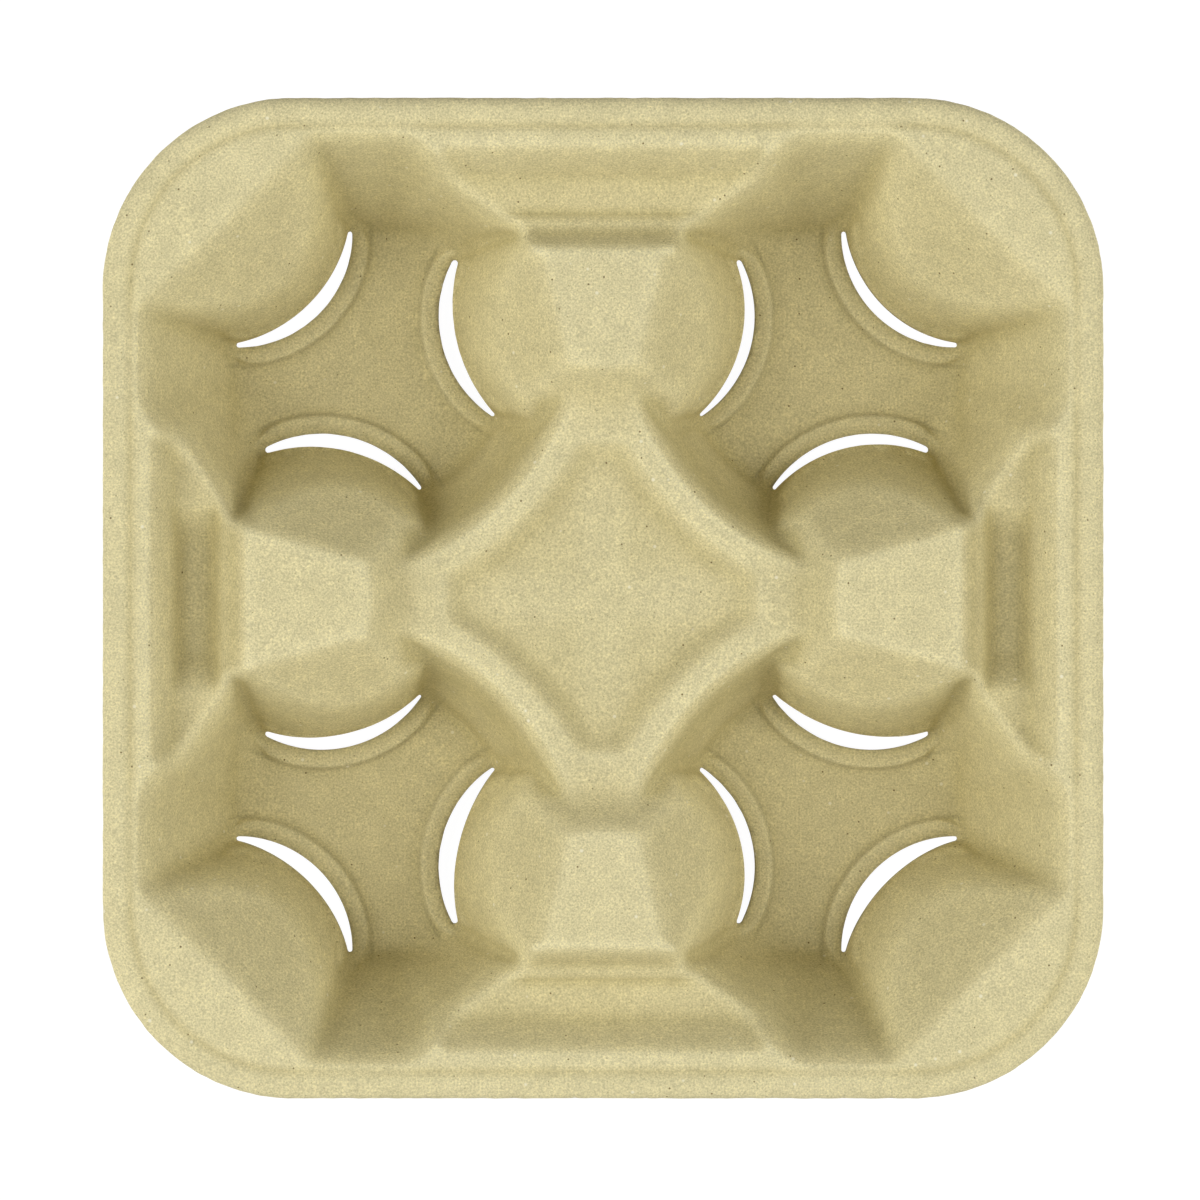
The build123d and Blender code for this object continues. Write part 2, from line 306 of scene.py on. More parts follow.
def corner(x, y):
    """Height of the flap that fills a corner."""
    along = (x + y) / math.sqrt(2)
    aside = (x - y) / math.sqrt(2)
    fold = HEIGHT - (FOLD_AT - along) * FLANK_RISE
    foot = CORNER_AT * math.sqrt(2) - CORNER_RADIUS
    wall = flap_wall(foot - along, aside, CORNER_RADIUS)
    top = least(fold, np.full_like(x, HEIGHT), CORNER_TOP_BLEND)
    return least(top, wall, CORNER_WALL_BLEND)


def hub(x, y):
    """Height of the hub, with its ridge and recess."""
    away = (x + y) / math.sqrt(2) - WELL_AT * math.sqrt(2)
    lean = (HUB_RIM - HUB_FOOT) / (RIDGE_Z - WALL)
    square = lean * (lean + 2.0 * HUB_FLATTEN)
    middle = 2.0 * (HUB_FOOT * (lean + HUB_FLATTEN) + HUB_FLATTEN * away)
    rest = HUB_FOOT ** 2 - (x - WELL_AT) ** 2 - (y - WELL_AT) ** 2
    root = np.sqrt(np.maximum(middle * middle - 4.0 * square * rest, 0.0))
    side = WALL + (root - middle) / (2.0 * square)
    height = least(side, np.full_like(x, RIDGE_Z), RIDGE_BLEND)
    bow_at = (RECESS_SIDE + RECESS_BOW) / math.sqrt(2)
    beyond_side = RECESS_BOW - np.hypot(x - bow_at, y - bow_at)
    beyond_tip = np.maximum(x, y) - RECESS_TIP
    outside = most(beyond_side, beyond_tip, RECESS_TIP_BLEND)
    floor = RIDGE_Z - RECESS_DEPTH
    recess = most(RIDGE_Z + outside * RECESS_RISE, np.full_like(x, floor), RECESS_BLEND)
    height = least(height, recess, RECESS_BLEND)
    return np.where((x > WELL_AT) | (y > WELL_AT), -HEIGHT, height)


SLOTS = [
    ((FOOT_SIDE, FOOT_ALONG), SLOT_RADIUS, SLOT_FROM, SLOT_TO, INNER_TIP, OUTER_TIP),
    ((FOOT_ALONG, FOOT_SIDE), SLOT_RADIUS, 90.0 - SLOT_TO, 90.0 - SLOT_FROM, OUTER_TIP,
     INNER_TIP),
    ((CORNER_AT, CORNER_AT), CORNER_SLOT_RADIUS, 225.0 - CORNER_SLOT_HALF,
     225.0 + CORNER_SLOT_HALF, CORNER_SLOT_TIP, CORNER_SLOT_TIP),
]

# Widest part of each slot, by quarter: right back, left back, left front, right front
SLOT_WIDTHS = [
    (2.75, 2.45, 2.5),
    (3.35, 3.1, 3.05),
    (3.8, 3.4, 3.25),
    (2.8, 3.65, 3.45),
]
QUARTERS = [(1, 1), (-1, 1), (-1, -1), (1, -1)]


def at_angle(middle, radius, angle):
    """A point at a radius and an angle about a middle."""
    turn = np.radians(angle)
    return middle[0] + radius * math.cos(turn), middle[1] + radius * math.sin(turn)


def lip_width(share):
    """Width of a lip, at a share of the way from its end to its middle."""
    return LIP_WIDTH * (1.0 - (1.0 - share) ** LIP_END_POWER)


def small_relief(x, y):
    """Lips and tears by the slots, the rim's crease and the necks' troughs, as height added."""
    ax = np.abs(x)
    ay = np.abs(y)
    rise = np.zeros_like(x)
    for middle, radius, first, last, *_ in SLOTS:
        out = np.hypot(ax - middle[0], ay - middle[1]) - radius
        turn = np.degrees(np.arctan2(ay - middle[1], ax - middle[0]))
        turn = np.where(turn < first - 90.0, turn + 360.0, turn)
        share = 1.0 - np.abs(turn - (first + last) / 2) / ((last - first) / 2 + LIP_MORE_TURN)
        past = out - lip_width(np.clip(share, 0.0, 1.0))
        along = np.clip(share * LIP_END_STEEPNESS, 0.0, 1.0)
        pad = np.clip(0.5 - past / LIP_EDGE_RUN, 0.0, 1.0) * along
        groove = np.exp(-((past - GROOVE_OUT) / GROOVE_WIDE) ** 2) * along
        here = (out > -LIP_BACK) & (share > 0.0)
        rise = np.where(here, np.maximum(rise, LIP_RISE * pad) - GROOVE_DEPTH * groove, rise)
        for angle in (first - TEAR_TURN, last + TEAR_TURN):
            tip = at_angle(middle, radius - TEAR_IN, angle)
            off = (ax - tip[0]) ** 2 + (ay - tip[1]) ** 2
            rise = rise - TEAR_DEPTH * np.exp(-off / TEAR_SPREAD)
    edge = rounded_square(x, y, HALF_SIDE, RIM_CORNER)
    crease = np.exp(-((edge + CREASE_IN) / CREASE_HALF) ** 2)
    trough = np.exp(-((ay - TROUGH_AT) / TROUGH_WIDE) ** 2)
    trough = trough * falling(ax, TROUGH_HALF, TROUGH_END_RUN)
    return rise - CREASE_DEPTH * crease - TROUGH_DEPTH * trough


def upper_face(x, y):
    """Height of the tray's upper face over the plan."""
    ax = np.abs(x)
    ay = np.abs(y)
    tub = WALL + np.maximum(rounded_square(x, y, TUB_FOOT, TUB_CORNER), 0.0) * TUB_RISE
    height = np.minimum(tub, HEIGHT)
    height = most(height, hub(ax, ay), EDGE_BLEND)
    for flank, blend in (neck(ax, ay, Y_STEPS), neck(ay, ax, X_STEPS)):
        height = np.minimum(most(height, flank, blend), HEIGHT)
    high_fold = rising(height, FOLD_FROM_HEIGHT, FOLD_HEIGHT_RUN)
    high_fold = high_fold * rising(np.minimum(ax, ay), FOLD_FROM_ASIDE, FOLD_ASIDE_RUN)
    blend = FLAP_BLEND + (FOLD_BLEND - FLAP_BLEND) * high_fold
    height = most(height, bridge(ax, ay, Y_PANEL_OUT, Y_PANEL_BLEND), blend)
    height = most(height, bridge(ay, ax, X_PANEL_OUT, X_PANEL_BLEND), blend)
    height = most(height, corner(ax, ay), blend)
    in_pocket = (ax > POCKET_FROM) & (ax < POCKET_TO) & (ay < POCKET_HALF)
    height = np.where(in_pocket, np.minimum(height, pocket(ay, ax)), height)
    return np.minimum(height, HEIGHT)


def blurred(height, width):
    """Heights softened over a width, as pulp rounds every edge of its mould."""
    steps = int(3 * width / FINE) + 1
    places = np.arange(-steps, steps + 1) * FINE
    weights = np.exp(-0.5 * (places / width) ** 2)
    weights /= weights.sum()
    for axis in (0, 1):
        padded = np.pad(height, [(steps, steps) if a == axis else (0, 0) for a in (0, 1)],
                        mode="edge")
        height = sum(w * np.take(padded, np.arange(height.shape[axis]) + i, axis=axis)
                     for i, w in enumerate(weights))
    return height


def away_from_necks(x, y):
    """Share of the wide softness: whole where an arm runs up to the rim, none at the necks."""
    far = np.maximum(np.abs(x), np.abs(y))
    near = np.minimum(np.abs(x), np.abs(y))
    return rising(far, SHOULDER_OUT, SHOULDER_RUN) * rising(near, SHOULDER_ASIDE, SHOULDER_RUN)


def enclosure(height):
    """How far the ground round each place hides the sky from it, from none to one."""
    hidden = np.zeros_like(height)
    turns = np.radians(np.arange(0.0, 360.0, SHADE_TURN))
    rows, columns = height.shape
    for turn in turns:
        horizon = np.zeros_like(height)
        for reach in SHADE_STEPS:
            i = int(round(reach * math.sin(turn) / FINE))
            j = int(round(reach * math.cos(turn) / FINE))
            row = np.clip(np.arange(rows) + i, 0, rows - 1)
            column = np.clip(np.arange(columns) + j, 0, columns - 1)
            rise = height[np.ix_(row, column)] - height
            sine = rise / np.hypot(rise, reach) * math.exp(-reach / SHADE_REACH)
            horizon = np.maximum(horizon, sine)
        hidden += horizon / len(turns)
    return hidden


def painted_wall_shade(x, y, height):
    """Where shade is painted: the hub's upper walls and the slopes beside the pockets."""
    ax = np.abs(x)
    ay = np.abs(y)
    round_hub = falling(ax + ay, *HUB_END) * rising(np.minimum(ax, ay), *HUB_SIDE_START)
    on_wall = falling(height, *HUB_WALL_END) * rising(height, *HUB_WALL_START)
    by_pocket = rising(ax, *STRIP_START) * falling(ax, *STRIP_END) * falling(ay, *STRIP_SIDE)
    return np.maximum(round_hub * on_wall, by_pocket)


def skin_under(height, thickness):
    """Heights of the face that lies a thickness under another, measured square to it."""
    reach = int(thickness / FINE)
    padded = np.pad(height, reach, mode="edge")
    under = np.full_like(height, np.inf)
    rows, columns = height.shape
    for i in range(-reach, reach + 1):
        for j in range(-reach, reach + 1):
            rest = thickness ** 2 - (i * FINE) ** 2 - (j * FINE) ** 2
            if rest < 0:
                continue
            part = padded[reach + i:reach + i + rows, reach + j:reach + j + columns]
            under = np.minimum(under, part - math.sqrt(rest))
    return under


def sampled(field, x, y):
    """A field's values between its grid points."""
    places_x = (x + EXTENT) / FINE
    places_y = (y + EXTENT) / FINE
    i = places_x.astype(int)
    j = places_y.astype(int)
    s = places_x - i
    t = places_y - j
    low = field[j, i] * (1 - s) + field[j, i + 1] * s
    high = field[j + 1, i] * (1 - s) + field[j + 1, i + 1] * s
    return low * (1 - t) + high * t


def rough(x, y, size, strength, seed):
    """Gentle unevenness with lumps of the given size."""
    values = [noise.noise(Vector((px / size, py / size, seed))) for px, py in zip(x, y)]
    return np.array(values) * strength


def arc(middle, radius, first, last, gap):
    """Points along an arc between two angles, a gap apart, with both ends."""
    count = max(int(abs(math.radians(last - first)) * radius / gap), 2)
    return [at_angle(middle, radius, angle) for angle in np.linspace(first, last, count + 1)]


def rim_loop(inset, gap):
    """Points round the rim, anticlockwise, an inset within its outline."""
    bend = RIM_CORNER - inset
    straight = HALF_SIDE - RIM_CORNER
    points = []
    for turn, (side_x, side_y) in zip((0.0, 90.0, 180.0, 270.0), QUARTERS):
        middle = (side_x * straight, side_y * straight)
        points += arc(middle, bend, turn, turn + 90.0, gap)
        end = points[-1]
        along = (-math.sin(math.radians(turn + 90.0)), math.cos(math.radians(turn + 90.0)))
        steps = int(2 * straight / gap)
        points += [(end[0] + along[0] * 2 * straight * i / steps,
                    end[1] + along[1] * 2 * straight * i / steps) for i in range(1, steps)]
    return points


def slot_loop(slot, width, side_x, side_y):
    """Points round one crescent slot with rounded tips, anticlockwise."""
    middle, radius, first, last, first_tip, last_tip = slot
    bulge = width - (first_tip + last_tip) / 2
    outer_side = arc(middle, radius, first, last, SLOT_GAP)
    inner_side = []
    for i, point in enumerate(outer_side):
        share = i / (len(outer_side) - 1)
        wide = first_tip + (last_tip - first_tip) * share + bulge * 4.0 * share * (1.0 - share)
        reach = (radius - wide) / radius
        inner_side.append((middle[0] + (point[0] - middle[0]) * reach,
                           middle[1] + (point[1] - middle[1]) * reach))
    points = outer_side
    points = points + tip_cap(outer_side[-1], inner_side[-1]) + inner_side[::-1]
    points = points + tip_cap(inner_side[0], outer_side[0])
    points = [(x * side_x, y * side_y) for x, y in points]
    return points if side_x * side_y > 0 else points[::-1]


def tip_cap(start, end):
    """Points along the half circle that closes a slot's tip, to the right of start to end."""
    middle = ((start[0] + end[0]) / 2, (start[1] + end[1]) / 2)
    radius = math.hypot(end[0] - start[0], end[1] - start[1]) / 2
    first = math.atan2(start[1] - middle[1], start[0] - middle[0])
    turns = [first + math.pi * share for share in (0.25, 0.5, 0.75)]
    return [(middle[0] + radius * math.cos(t), middle[1] + radius * math.sin(t)) for t in turns]


def feature_lines():
    """Rows of points along the lips' edges and the crease, where the grid is too coarse."""
    points = []
    for middle, radius, first, last, *_ in SLOTS:
        for share in np.linspace(-LIP_END_SHARE, LIP_END_SHARE, LIP_POINTS):
            turn = (first + last) / 2 + share * ((last - first) / 2 + LIP_MORE_TURN)
            for apart in (-LINE_APART, 0.0, LINE_APART):
                reach = radius + lip_width(1.0 - abs(share)) + apart
                points.append(at_angle(middle, reach, turn))
    lines = [(x * side_x, y * side_y) for side_x, side_y in QUARTERS for x, y in points]
    for inset in (CREASE_IN - CREASE_HALF, CREASE_IN, CREASE_IN + CREASE_HALF):
        lines += rim_loop(inset, LINE_GAP)
    return lines


def edge_loops():
    """Points round the tray's rim and round each of its slots."""
    loops = [rim_loop(RIM_ROLL, SPACING)]
    for (side_x, side_y), widths in zip(QUARTERS, SLOT_WIDTHS):
        loops += [slot_loop(slot, width, side_x, side_y) for slot, width in zip(SLOTS, widths)]
    return loops


def search_tree(points):
    """A tree that finds the nearest of some points in plan."""
    tree = KDTree(len(points))
    for i, (x, y) in enumerate(points):
        tree.insert((x, y, 0.0), i)
    tree.balance()
    return tree


def clear_of(tree, point, gap):
    """Whether a point in plan lies more than a gap from every point of a search tree."""
    return tree.find((point[0], point[1], 0.0))[2] > gap


def inner_points(edge_points):
    """Points between the edges: along the fine features, and on a square grid elsewhere."""
    lines = np.array(feature_lines())
    by_lines = search_tree(lines)
    by_edges = search_tree(edge_points)
    line = np.linspace(-HALF_SIDE, HALF_SIDE, int(2 * HALF_SIDE / SPACING) + 1)
    x, y = [a.ravel() for a in np.meshgrid(line, line)]
    out = rounded_square(x, y, HALF_SIDE - RIM_ROLL, RIM_CORNER - RIM_ROLL)
    grid = np.stack([x, y], -1)[out < -CLEAR_OF_RIM]
    grid = [p for p in grid if clear_of(by_lines, p, CLEAR_OF_LINES)
            and clear_of(by_edges, p, CLEAR_OF_EDGES)]
    return [p for p in lines if clear_of(by_edges, p, LINES_CLEAR_OF_EDGES)] + grid


def plan_mesh():
    """Points and triangles that fill the skin's plan, and its edge loops."""
    loops = edge_loops()
    edge_points = [point for loop in loops for point in loop]
    places = [Vector((float(x), float(y))) for x, y in edge_points + inner_points(edge_points)]
    faces = []
    start = 0
    for loop in loops:
        faces.append(list(range(start, start + len(loop))))
        start += len(loop)
    found = delaunay_2d_cdt(places, [], faces, 0, SAME_PLACE)
    made, _, triangles, from_places, _, from_faces = found

    # Triangles inside the rim alone are skin: those inside a slot's loop too are its hole
    kept = [t for t, sources in zip(triangles, from_faces) if list(sources) == [0]]
    used = sorted({i for t in kept for i in t})
    place = {old: new for new, old in enumerate(used)}
    new_index = {source: place[i] for i, sources in enumerate(from_places)
                 if i in place for source in sources}
    kept = np.array([[place[i] for i in t] for t in kept])
    x = np.array([made[i].x for i in used])
    y = np.array([made[i].y for i in used])
    turn = ((x[kept[:, 1]] - x[kept[:, 0]]) * (y[kept[:, 2]] - y[kept[:, 0]])
            - (x[kept[:, 2]] - x[kept[:, 0]]) * (y[kept[:, 1]] - y[kept[:, 0]]))
    kept[turn < 0] = kept[turn < 0][:, ::-1]
    return x, y, kept, [[new_index[i] for i in face] for face in faces]


def loop_outward(x, y, loop, side):
    """Unit directions square to a loop in plan, to its right or to its left."""
    px = x[loop]
    py = y[loop]
    along_x = np.roll(px, -1) - np.roll(px, 1)
    along_y = np.roll(py, -1) - np.roll(py, 1)
    size = np.hypot(along_x, along_y)
    return side * along_y / size, -side * along_x / size


def skin_fields():
    """Grids of the upper and lower face's heights, and of the upper face's painted shade: in its
    hollows and on its walls, and where the ground round hides the sky.
    """
    line = np.arange(-EXTENT, EXTENT + FINE / 2, FINE)
    x, y = np.meshgrid(line, line)
    height = upper_face(x, y)
    shoulders = away_from_necks(x, y)
    upper = blurred(height, SOFTNESS) * (1.0 - shoulders)
    upper = upper + blurred(height, SHOULDER_SOFTNESS) * shoulders + small_relief(x, y)
    smooth = blurred(upper, FINE)
    lower = blurred(skin_under(smooth, WALL), UNDER_SOFTNESS)
    # Painted shade: darker in the hollows, and on the hub's walls and the strips beside the
    # pockets
    hollow = blurred(upper, HOLLOW_REACH) - upper + WALL_SHADE_TONE * painted_wall_shade(x, y, upper)
    return upper, lower, hollow, enclosure(smooth)


def edge_rows(number, loop, top, bottom, ragged):
    """Rows of an edge between top and bottom: how far out each lies, and at what height."""
    if number == 0:
        return [(away + ragged[loop] * away / RIM_ROLL, np.full(len(loop), level))
                for away, level in ROLL]
    level = top[loop] * SLOT_WALL_LEVEL + bottom[loop] * (1.0 - SLOT_WALL_LEVEL)
    return [(SLOT_WALL_BULGE + SLOT_WALL_RAGGED * ragged[loop], level)]


def tray_mesh():
    """The whole skin as one closed mesh, in metres."""
    upper, lower, hollow, enclosed = skin_fields()
    x, y, triangles, loops = plan_mesh()
    uneven = sum(rough(x, y, *wave) for wave in UNEVEN)
    ragged = rough(x, y, *RAGGED)
    top = sampled(upper, x, y) + uneven
    bottom = np.maximum(sampled(lower, x, y) + uneven, 0.0)
    total = len(x)
    points = [np.stack([x, y, top], -1), np.stack([x, y, bottom], -1)]
    faces = triangles.tolist() + (triangles[:, ::-1] + total).tolist()
    start = 2 * total
    for number, loop in enumerate(loops):
        loop = np.array(loop)
        out_x, out_y = loop_outward(x, y, loop, -1.0 if number else 1.0)
        levels = [loop.tolist()]
        for away, level in edge_rows(number, loop, top, bottom, ragged):
            points.append(np.stack([x[loop] + out_x * away, y[loop] + out_y * away, level], -1))
            levels.append(list(range(start, start + len(loop))))
            start += len(loop)
        levels.append((loop + total).tolist())
        if number:
            levels = [level[::-1] for level in levels]
        for above, below in zip(levels, levels[1:]):
            for i in range(len(loop)):
                faces.append([above[i - 1], below[i - 1], below[i], above[i]])
    mesh = bpy.data.meshes.new("carrier_tray_skin")
    mesh.from_pydata((np.concatenate(points) * MM).tolist(), [], faces)
    # Painted shade, kept on the upper face's points for the material
    for name, field in (("hollow", hollow), ("enclosure", enclosed)):
        values = np.zeros(start, np.float32)
        values[:total] = sampled(field, x, y)
        mesh.attributes.new(name, "FLOAT", "POINT").data.foreach_set("value", values)
    for polygon in mesh.polygons:
        polygon.use_smooth = True
    return mesh


def colour(code):
    """A #RRGGBB colour as Blender's linear values."""
    shares = [int(code[i:i + 2], 16) / 255 for i in (1, 3, 5)]
    linear = [s / 12.92 if s <= 0.04045 else ((s + 0.055) / 1.055) ** 2.4 for s in shares]
    return (*linear, 1.0)


def add_node(tree, kind, inputs=(), **settings):
    """A node with its settings, and its inputs set to values or linked to sockets."""
    made = tree.nodes.new(kind)
    for name, value in settings.items():
        setattr(made, name, value)
    for name, value in dict(inputs).items():
        if isinstance(value, bpy.types.NodeSocket):
            tree.links.new(value, made.inputs[name])
        else:
            made.inputs[name].default_value = value
    return made


def ramp(tree, factor, stops):
    """A colour ramp over the given stops, driven by a factor."""
    made = add_node(tree, "ShaderNodeValToRGB", {"Fac": factor})
    while len(made.color_ramp.elements) < len(stops):
        made.color_ramp.elements.new(0.5)
    for element, (position, value) in zip(made.color_ramp.elements, stops):
        element.position = position
        element.color = value
    return made.outputs["Color"]


def grain(tree, place, size_mm, detail, distortion=0.0):
    """Noise whose largest lumps have the given size."""
    return add_node(tree, "ShaderNodeTexNoise",
                    {"Vector": place, "Scale": 1.0 / (size_mm * MM), "Detail": detail,
                     "Roughness": 0.6, "Distortion": distortion}).outputs["Fac"]


def around_one(tree, factor, spread):
    """A multiplier that swings about one as a noise swings about its middle."""
    return add_node(tree, "ShaderNodeMath", {0: factor, 1: spread, 2: 1.0 - spread / 2},
                    operation="MULTIPLY_ADD").outputs[0]


def times(tree, first, second):
    """Product of two values."""
    return add_node(tree, "ShaderNodeMath", {0: first, 1: second},
                    operation="MULTIPLY").outputs[0]


def tinted(tree, body, tint):
    """A colour multiplied by another."""
    return add_node(tree, "ShaderNodeMix", {"Factor": 1.0, "A": body, "B": tint},
                    data_type="RGBA", blend_type="MULTIPLY").outputs["Result"]


def wire_screen(tree, place, eighths):
    """Imprint of the mould's wire screen: two crossing sets of wires, turned by eighths."""
    turn = add_node(tree, "ShaderNodeMath", {0: eighths, 1: math.pi / 4},
                    operation="MULTIPLY").outputs[0]
    turn = add_node(tree, "ShaderNodeCombineXYZ", {"Z": turn}).outputs[0]
    turned = add_node(tree, "ShaderNodeMapping",
                      {"Vector": place, "Rotation": turn}).outputs[0]
    sets = [add_node(tree, "ShaderNodeTexWave",
                     {"Vector": turned, "Scale": math.pi / (10.0 * SCREEN_PITCH * MM),
                      "Distortion": 0.9, "Detail": 1.0, "Detail Scale": 0.3},
                     bands_direction=way).outputs["Fac"] for way in ("X", "Y")]
    return add_node(tree, "ShaderNodeMath", {0: sets[0], 1: sets[1]},
                    operation="MAXIMUM").outputs[0]


def painted_lip_shade(tree, folded, slot):
    """Painted shade along the groove at the outer edge of a slot's lip, as a multiplier, one
    elsewhere.
    """
    middle, radius, first, last, *_ = slot
    halfway = math.radians((first + last) / 2)
    half = math.radians((last - first) / 2 + LIP_MORE_TURN)
    centre = (middle[0] * MM, middle[1] * MM, 0.0)
    apart = add_node(tree, "ShaderNodeVectorMath", {0: folded, 1: centre}, operation="SUBTRACT")
    size = add_node(tree, "ShaderNodeVectorMath", {0: apart.outputs[0]}, operation="LENGTH")
    off = add_node(tree, "ShaderNodeMath", {0: size.outputs["Value"],
                                            1: (radius + LIP_WIDTH) * MM}, operation="SUBTRACT")
    off = add_node(tree, "ShaderNodeMath", {0: off.outputs[0]}, operation="ABSOLUTE")
    way = add_node(tree, "ShaderNodeVectorMath", {0: apart.outputs[0]}, operation="NORMALIZE")
    facing = add_node(tree, "ShaderNodeVectorMath",
                      {0: way.outputs[0], 1: (math.cos(halfway), math.sin(halfway), 0.0)},
                      operation="DOT_PRODUCT")
    beside = add_node(tree, "ShaderNodeMapRange",
                      {"Value": facing.outputs["Value"], "From Min": math.cos(half),
                       "From Max": math.cos(half - LIP_LINE_END),
                       "To Max": LIP_LINE_TONE}).outputs[0]
    near = add_node(tree, "ShaderNodeMapRange",
                    {"Value": off.outputs[0], "From Min": LIP_LINE_HALF * MM,
                     "From Max": LIP_LINE_FADED * MM, "To Min": 1.0, "To Max": 0.0}).outputs[0]
    dark = times(tree, near, beside)
    return add_node(tree, "ShaderNodeMath", {0: 1.0, 1: dark}, operation="SUBTRACT").outputs[0]


# Sizes of the pulp's patterns, in millimetres. Real fibres are about 0.03 mm thick: too fine to
# show, so the fuzz and the fibres are drawn as coarse as the render needs
CLOUD_SIZE = 26.0
MOTTLE_SIZE = 4.5
FIBRE_SIZE = 0.8
FUZZ_SIZE = 0.4
SCREEN_PITCH = 0.9
SCREEN_CORNER = 62.0
RELIEF = 0.25
FIBRE_RELIEF = 0.6
IMPRINT_RELIEF = 0.35

# How far each pattern swings the pulp's lightness
FUZZ_SPREAD = 0.95
FIBRE_SPREAD = 0.32
MOTTLE_SPREAD = 0.06
IMPRINT_SPREAD = 0.09

# Dark and pale flecks of other fibre: their spacing, their width as a share of it, their colour
FLECKS = ((4.3, 0.035, "#7C6C45"), (1.7, 0.05, "#A89A6C"), (6.5, 0.04, "#F2ECD0"))
FLECK_EDGE = 1.7

# Painted shade in the groove beside a slot's lip: its strength, its half width, its faded half
# width, and its end's turn
LIP_LINE_TONE = 0.16
LIP_LINE_HALF = 0.2
LIP_LINE_FADED = 0.7
LIP_LINE_END = 0.1


def moulded_pulp():
    """Moulded fibre: drained on a wire screen, pressed and dried, so matt, flecked and uneven."""
    material = bpy.data.materials.new("moulded_fibre_pulp")
    material.use_nodes = True
    tree = material.node_tree
    tree.nodes.clear()
    place = add_node(tree, "ShaderNodeTexCoord").outputs["Object"]

    clouds = grain(tree, place, CLOUD_SIZE, 3.0)
    mottle = grain(tree, place, MOTTLE_SIZE, 3.0)
    fibres = grain(tree, place, FIBRE_SIZE, 2.0, 1.0)
    fuzz = grain(tree, place, FUZZ_SIZE, 1.0)
    body = ramp(tree, clouds, [(0.3, colour("#E0D6A7")), (0.7, colour("#E4DAAC"))])

    # Square screen on the flats, turned by an eighth in the corners
    parts = add_node(tree, "ShaderNodeSeparateXYZ", {0: place}).outputs
    across = add_node(tree, "ShaderNodeMath", {0: parts["X"]}, operation="ABSOLUTE").outputs[0]
    along = add_node(tree, "ShaderNodeMath", {0: parts["Y"]}, operation="ABSOLUTE").outputs[0]
    lesser = add_node(tree, "ShaderNodeMath", {0: across, 1: along}, operation="MINIMUM")
    in_corner = add_node(tree, "ShaderNodeMath", {0: lesser.outputs[0], 1: SCREEN_CORNER * MM},
                         operation="GREATER_THAN").outputs[0]
    worn = add_node(tree, "ShaderNodeMapRange",
                    {"Value": mottle, "From Min": 0.42, "From Max": 0.62}).outputs["Result"]
    imprint = times(tree, wire_screen(tree, place, in_corner), worn)

    light = times(tree, around_one(tree, fuzz, FUZZ_SPREAD),
                  around_one(tree, fibres, FIBRE_SPREAD))
    light = times(tree, light, around_one(tree, mottle, MOTTLE_SPREAD))
    light = times(tree, light, around_one(tree, imprint, IMPRINT_SPREAD))
    folded = add_node(tree, "ShaderNodeCombineXYZ", {"X": across, "Y": along}).outputs[0]
    # Painted shade in the groove beside each slot's lip
    for slot in SLOTS:
        light = times(tree, light, painted_lip_shade(tree, folded, slot))
    body = tinted(tree, body, light)

    for size_mm, wide, tone in FLECKS:
        cells = add_node(tree, "ShaderNodeTexVoronoi",
                         {"Vector": place, "Scale": 1.0 / (size_mm * MM)}).outputs["Distance"]
        fleck = ramp(tree, cells, [(wide, (1, 1, 1, 1)), (wide * FLECK_EDGE, (0, 0, 0, 1))])
        body = add_node(tree, "ShaderNodeMix", {"Factor": fleck, "A": body, "B": colour(tone)},
                        data_type="RGBA").outputs["Result"]

    # Painted shade: darker and browner where the ground round hides the sky
    enclosed = add_node(tree, "ShaderNodeAttribute", attribute_name="enclosure").outputs["Fac"]
    body = tinted(tree, body, ramp(tree, enclosed, [(0.0, colour("#FFFFFF")),
                                                    (0.14, colour("#F5F3ED")),
                                                    (0.45, colour("#F7F6F0"))]))
    # Painted shade: darker and browner in hollows and creases, on the hub's upper walls and on
    # the strips beside the pockets
    hollow = add_node(tree, "ShaderNodeAttribute", attribute_name="hollow").outputs["Fac"]
    hollow = add_node(tree, "ShaderNodeMapRange",
                      {"Value": hollow, "From Min": -0.5, "From Max": 0.8}).outputs["Result"]
    body = tinted(tree, body, ramp(tree, hollow, [(0.0, colour("#FFFFFF")),
                                                  (0.385, colour("#F5F4F1")),
                                                  (1.0, colour("#E6E3D8"))]))

    heights = add_node(tree, "ShaderNodeMath", {0: fibres, 1: FIBRE_RELIEF, 2: fuzz},
                       operation="MULTIPLY_ADD").outputs[0]
    heights = add_node(tree, "ShaderNodeMath", {0: imprint, 1: IMPRINT_RELIEF, 2: heights},
                       operation="MULTIPLY_ADD").outputs[0]
    bump = add_node(tree, "ShaderNodeBump", {"Height": heights, "Strength": 0.5,
                                             "Distance": RELIEF * MM})
    shader = add_node(tree, "ShaderNodeBsdfPrincipled",
                      {"Base Color": body, "Roughness": 0.92,
                       "Normal": bump.outputs["Normal"], "Specular IOR Level": 0.25})
    add_node(tree, "ShaderNodeOutputMaterial", {"Surface": shader.outputs["BSDF"]})
    return material


tray = bpy.data.objects.new("moulded_tray", tray_mesh())
bpy.context.scene.collection.objects.link(tray)
tray.data.materials.append(moulded_pulp())
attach(tray, "root")
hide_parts("carrier_tray")

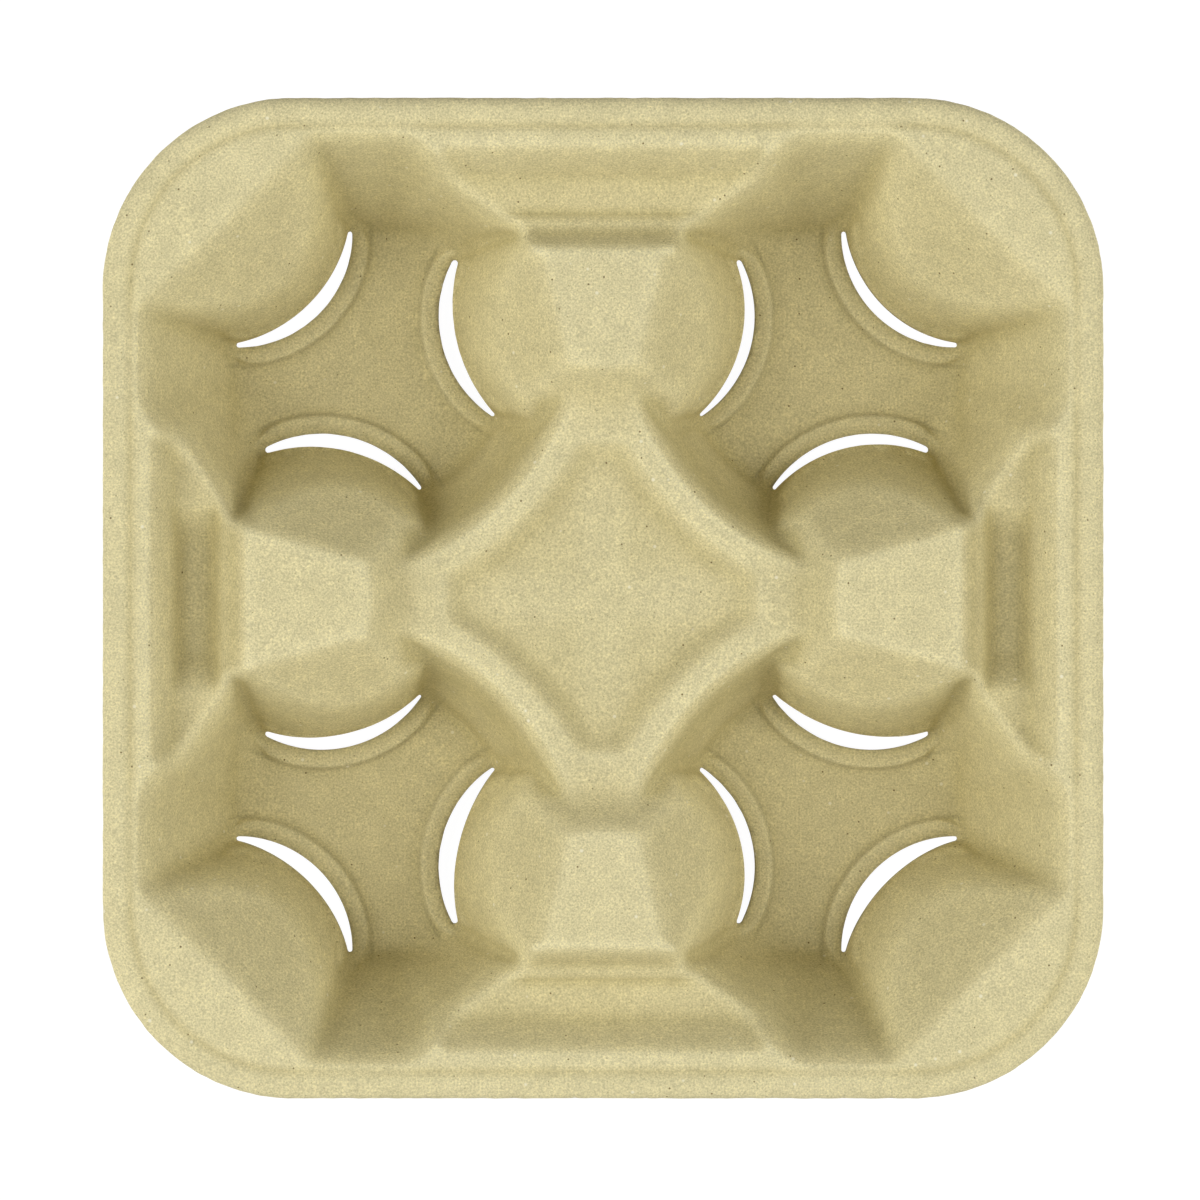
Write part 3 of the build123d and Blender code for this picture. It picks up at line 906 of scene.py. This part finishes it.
# Camera: straight down from a metre above the rim, off to the upper left of the tray's middle,
# with the frame shifted back on to the tray. All in millimetres
CAMERA_X = -36.0
CAMERA_Y = 36.0
CAMERA_ABOVE_RIM = 1000.0
VIEW_WIDTH = 251.3
VIEW_X = -0.73
VIEW_Y = -0.31
SENSOR = 36.0
camera_data = bpy.data.cameras.new("camera")
camera = bpy.data.objects.new("camera", camera_data)
bpy.context.scene.collection.objects.link(camera)
camera.location = (CAMERA_X * MM, CAMERA_Y * MM, (HEIGHT + CAMERA_ABOVE_RIM) * MM)
camera_data.sensor_width = SENSOR
camera_data.lens = SENSOR * CAMERA_ABOVE_RIM / VIEW_WIDTH
camera_data.shift_x = (VIEW_X - CAMERA_X) / VIEW_WIDTH
camera_data.shift_y = (VIEW_Y - CAMERA_Y) / VIEW_WIDTH
camera_data.clip_start = 0.01
camera_data.clip_end = 20.0
bpy.context.scene.camera = camera


# Floor: half its side and how far it lies under the tray, in metres, and its own white
FLOOR_HALF = 3.0
FLOOR_BELOW = 0.0002
FLOOR_WHITE = 1.1
FLOOR_WHITE_SHARE = 0.88


def white_paper():
    """The plain white floor: white to the camera, with the tray's shadow left on it."""
    material = bpy.data.materials.new("white_paper_floor")
    material.use_nodes = True
    tree = material.node_tree
    tree.nodes.clear()
    paper = add_node(tree, "ShaderNodeBsdfDiffuse", {"Color": colour("#F2F2F0")})
    glow = add_node(tree, "ShaderNodeEmission", {"Color": (1, 1, 1, 1), "Strength": FLOOR_WHITE})
    both = add_node(tree, "ShaderNodeMixShader", {0: FLOOR_WHITE_SHARE, 1: paper.outputs[0],
                                                  2: glow.outputs[0]})
    path = add_node(tree, "ShaderNodeLightPath").outputs
    ray = path["Is Camera Ray"]
    for kind in ("Is Glossy Ray", "Is Transmission Ray"):
        ray = add_node(tree, "ShaderNodeMath", {0: ray, 1: path[kind]},
                       operation="MAXIMUM").outputs[0]
    seen = add_node(tree, "ShaderNodeMixShader", {0: ray, 1: paper.outputs[0],
                                                  2: both.outputs[0]})
    add_node(tree, "ShaderNodeOutputMaterial", {"Surface": seen.outputs[0]})
    return material


def floor_sheet():
    """A flat square floor just under the tray."""
    mesh = bpy.data.meshes.new("floor")
    corners = [(x * FLOOR_HALF, y * FLOOR_HALF, -FLOOR_BELOW) for x, y in QUARTERS]
    mesh.from_pydata(corners, [], [(0, 1, 2, 3)])
    sheet = bpy.data.objects.new("floor", mesh)
    bpy.context.scene.collection.objects.link(sheet)
    mesh.materials.append(white_paper())
    return sheet


floor_sheet()


def softbox(name, place, side, power):
    """A square lamp that faces the tray."""
    data = bpy.data.lights.new(name, "AREA")
    data.shape = "SQUARE"
    data.size = side
    data.energy = power
    lamp = bpy.data.objects.new(name, data)
    lamp.location = place
    lamp.rotation_euler = Vector(place).to_track_quat("Z", "Y").to_euler()
    bpy.context.scene.collection.objects.link(lamp)


# Name, place and side in metres, and power in watts
LAMPS = [
    ("left_softbox", (-1.0, 0.0, 1.1), 0.8, 9.6),
    ("left_low_softbox", (-1.4, 0.0, 0.55), 0.8, 5.0),
    ("right_softbox", (1.0, 0.0, 1.1), 0.8, 8.0),
    ("right_low_softbox", (1.4, 0.0, 0.55), 0.8, 4.4),
    ("front_softbox", (0.0, -1.0, 1.1), 0.8, 2.0),
    ("front_low_softbox", (0.0, -1.4, 0.55), 0.8, 3.3),
    ("top_softbox", (-0.1, -0.1, 1.8), 0.4, 2.4),
]
WORLD_LIGHT = 0.11

for lamp in LAMPS:
    softbox(*lamp)

world = bpy.data.worlds.new("studio")
bpy.context.scene.world = world
world.use_nodes = True
world.node_tree.nodes["Background"].inputs["Color"].default_value = (1, 1, 1, 1)
world.node_tree.nodes["Background"].inputs["Strength"].default_value = WORLD_LIGHT

bpy.context.scene.view_settings.view_transform = "Standard"
